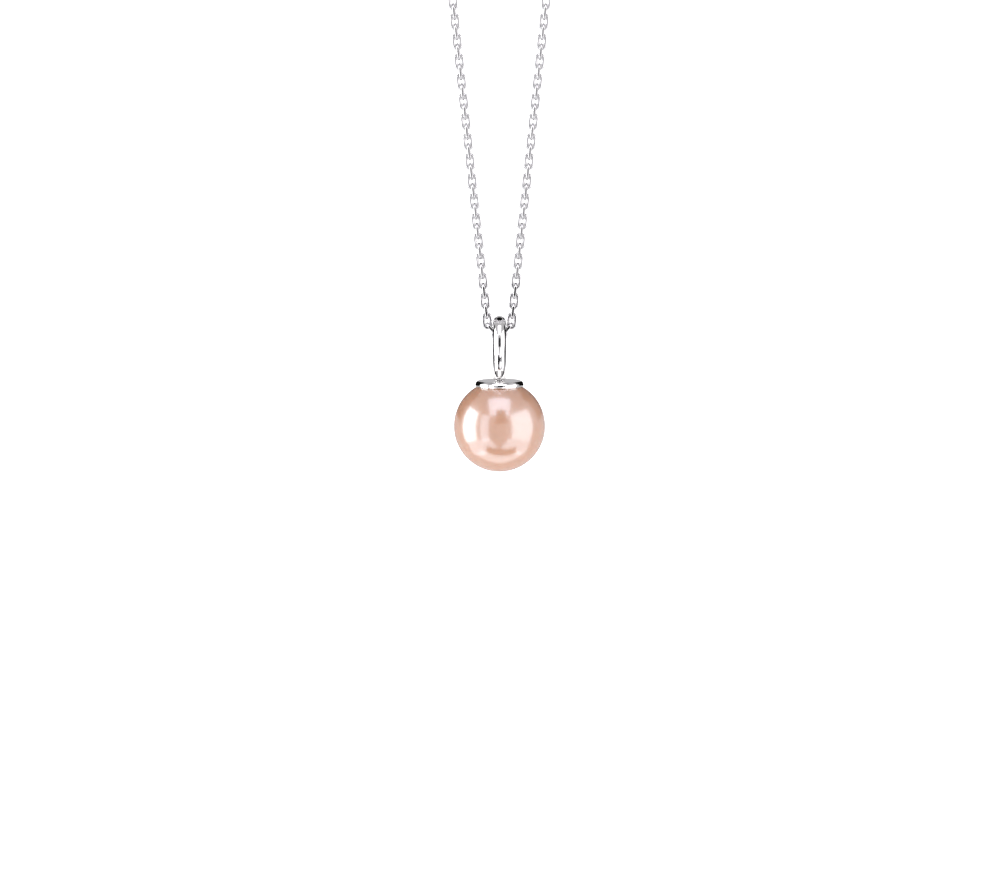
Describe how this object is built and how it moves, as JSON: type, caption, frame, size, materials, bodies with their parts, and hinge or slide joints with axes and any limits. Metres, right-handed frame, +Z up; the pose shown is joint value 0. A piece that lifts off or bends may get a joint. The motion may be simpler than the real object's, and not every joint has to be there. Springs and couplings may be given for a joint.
{
  "type": "pearl necklace",
  "caption": "Fine silver anchor-chain necklace with a spring-ring clasp, a teardrop bail and a single capped round pearl drop.",
  "frame": {"origin": "centre of the round stretch at the top of the loop, where a peg or the back of a neck carries the chain", "axes": "+Z up along the hanging necklace, +Y through the loop, away from the viewer, +X to the right"},
  "size_m": [0.0436, 0.009, 0.2266],
  "materials": {
    "chain_silver": "polished",
    "polished_silver": "polished",
    "spring_steel": "satin",
    "pearl": "gloss"
  },
  "bodies": {
    "loop": {"chain_top_left": "chain_silver", "chain_top_right": "chain_silver", "clasp_tube": "polished_silver", "clasp_eye": "polished_silver", "clasp_spring": "spring_steel", "jump_ring": "polished_silver", "end_ring": "polished_silver"},
    "gate": {"clasp_bolt": "polished_silver", "clasp_knob": "polished_silver"},
    "chain_01": {"chain_left_01": "chain_silver", "chain_right_01": "chain_silver"},
    "chain_02": {"chain_left_02": "chain_silver", "chain_right_02": "chain_silver"},
    "chain_03": {"chain_left_03": "chain_silver", "chain_right_03": "chain_silver"},
    "chain_04": {"chain_left_04": "chain_silver", "chain_right_04": "chain_silver"},
    "chain_05": {"chain_left_05": "chain_silver", "chain_right_05": "chain_silver"},
    "chain_06": {"chain_left_06": "chain_silver", "chain_right_06": "chain_silver"},
    "chain_07": {"chain_left_07": "chain_silver", "chain_right_07": "chain_silver"},
    "chain_08": {"chain_left_08": "chain_silver", "chain_right_08": "chain_silver"},
    "chain_09": {"chain_left_09": "chain_silver", "chain_right_09": "chain_silver"},
    "chain_10": {"chain_left_10": "chain_silver", "chain_right_10": "chain_silver"},
    "chain_11": {"chain_left_11": "chain_silver", "chain_right_11": "chain_silver"},
    "chain_12": {"chain_left_12": "chain_silver", "chain_right_12": "chain_silver"},
    "chain_13": {"chain_left_13": "chain_silver", "chain_right_13": "chain_silver"},
    "chain_14": {"chain_left_14": "chain_silver", "chain_right_14": "chain_silver"},
    "chain_15": {"chain_left_15": "chain_silver", "chain_right_15": "chain_silver"},
    "chain_16": {"chain_left_16": "chain_silver", "chain_right_16": "chain_silver", "chain_bottom_link": "chain_silver"},
    "bail": {"bail": "polished_silver"},
    "drop": {"cap_eye": "polished_silver", "pearl_cap": "polished_silver", "peg": "polished_silver", "pearl": "pearl"}
  },
  "joints": [
    {"name": "gate_pull", "type": "hinge", "parent": "loop", "child": "gate", "pos_m": [-0.00097, 0, 0.02086], "axis": [0, 0, -1], "range_deg": [0, 36], "stiffness_Nm_per_rad": 0.0015, "springref_deg": -20.05, "deforming": ["clasp_spring"]},
    {"name": "chain_bend_01", "type": "hinge", "parent": "loop", "child": "chain_01", "pos_m": [0, 0, -0.00293], "axis": [1, 0, 0], "range_deg": [-90, 90]},
    {"name": "chain_bend_02", "type": "hinge", "parent": "chain_01", "child": "chain_02", "pos_m": [0, 0, -0.01474], "axis": [-1, 0, 0], "range_deg": [-90, 90]},
    {"name": "chain_bend_03", "type": "hinge", "parent": "chain_02", "child": "chain_03", "pos_m": [0, 0, -0.02655], "axis": [1, 0, 0], "range_deg": [-90, 90]},
    {"name": "chain_bend_04", "type": "hinge", "parent": "chain_03", "child": "chain_04", "pos_m": [0, 0, -0.03836], "axis": [-1, 0, 0], "range_deg": [-90, 90]},
    {"name": "chain_bend_05", "type": "hinge", "parent": "chain_04", "child": "chain_05", "pos_m": [0, 0, -0.05018], "axis": [1, 0, 0], "range_deg": [-90, 90]},
    {"name": "chain_bend_06", "type": "hinge", "parent": "chain_05", "child": "chain_06", "pos_m": [0, 0, -0.06199], "axis": [-1, 0, 0], "range_deg": [-90, 90]},
    {"name": "chain_bend_07", "type": "hinge", "parent": "chain_06", "child": "chain_07", "pos_m": [0, 0, -0.0738], "axis": [1, 0, 0], "range_deg": [-90, 90]},
    {"name": "chain_bend_08", "type": "hinge", "parent": "chain_07", "child": "chain_08", "pos_m": [0, 0, -0.08562], "axis": [-1, 0, 0], "range_deg": [-90, 90]},
    {"name": "chain_bend_09", "type": "hinge", "parent": "chain_08", "child": "chain_09", "pos_m": [0, 0, -0.09743], "axis": [1, 0, 0], "range_deg": [-90, 90]},
    {"name": "chain_bend_10", "type": "hinge", "parent": "chain_09", "child": "chain_10", "pos_m": [0, 0, -0.10924], "axis": [-1, 0, 0], "range_deg": [-90, 90]},
    {"name": "chain_bend_11", "type": "hinge", "parent": "chain_10", "child": "chain_11", "pos_m": [0, 0, -0.12105], "axis": [1, 0, 0], "range_deg": [-90, 90]},
    {"name": "chain_bend_12", "type": "hinge", "parent": "chain_11", "child": "chain_12", "pos_m": [0, 0, -0.13287], "axis": [-1, 0, 0], "range_deg": [-90, 90]},
    {"name": "chain_bend_13", "type": "hinge", "parent": "chain_12", "child": "chain_13", "pos_m": [0, 0, -0.14468], "axis": [1, 0, 0], "range_deg": [-90, 90]},
    {"name": "chain_bend_14", "type": "hinge", "parent": "chain_13", "child": "chain_14", "pos_m": [0, 0, -0.15649], "axis": [-1, 0, 0], "range_deg": [-90, 90]},
    {"name": "chain_bend_15", "type": "hinge", "parent": "chain_14", "child": "chain_15", "pos_m": [0, 0, -0.16831], "axis": [1, 0, 0], "range_deg": [-90, 90]},
    {"name": "chain_bend_16", "type": "hinge", "parent": "chain_15", "child": "chain_16", "pos_m": [0, 0, -0.18012], "axis": [-1, 0, 0], "range_deg": [-90, 90]},
    {"name": "bail_swing", "type": "hinge", "parent": "chain_16", "child": "bail", "pos_m": [0, 0, -0.19029], "axis": [1, 0, 0], "range_deg": [-45, 45]},
    {"name": "drop_swing", "type": "hinge", "parent": "bail", "child": "drop", "pos_m": [0, 0, -0.19468], "axis": [0, 1, 0], "range_deg": [-40, 40]}
  ]
}
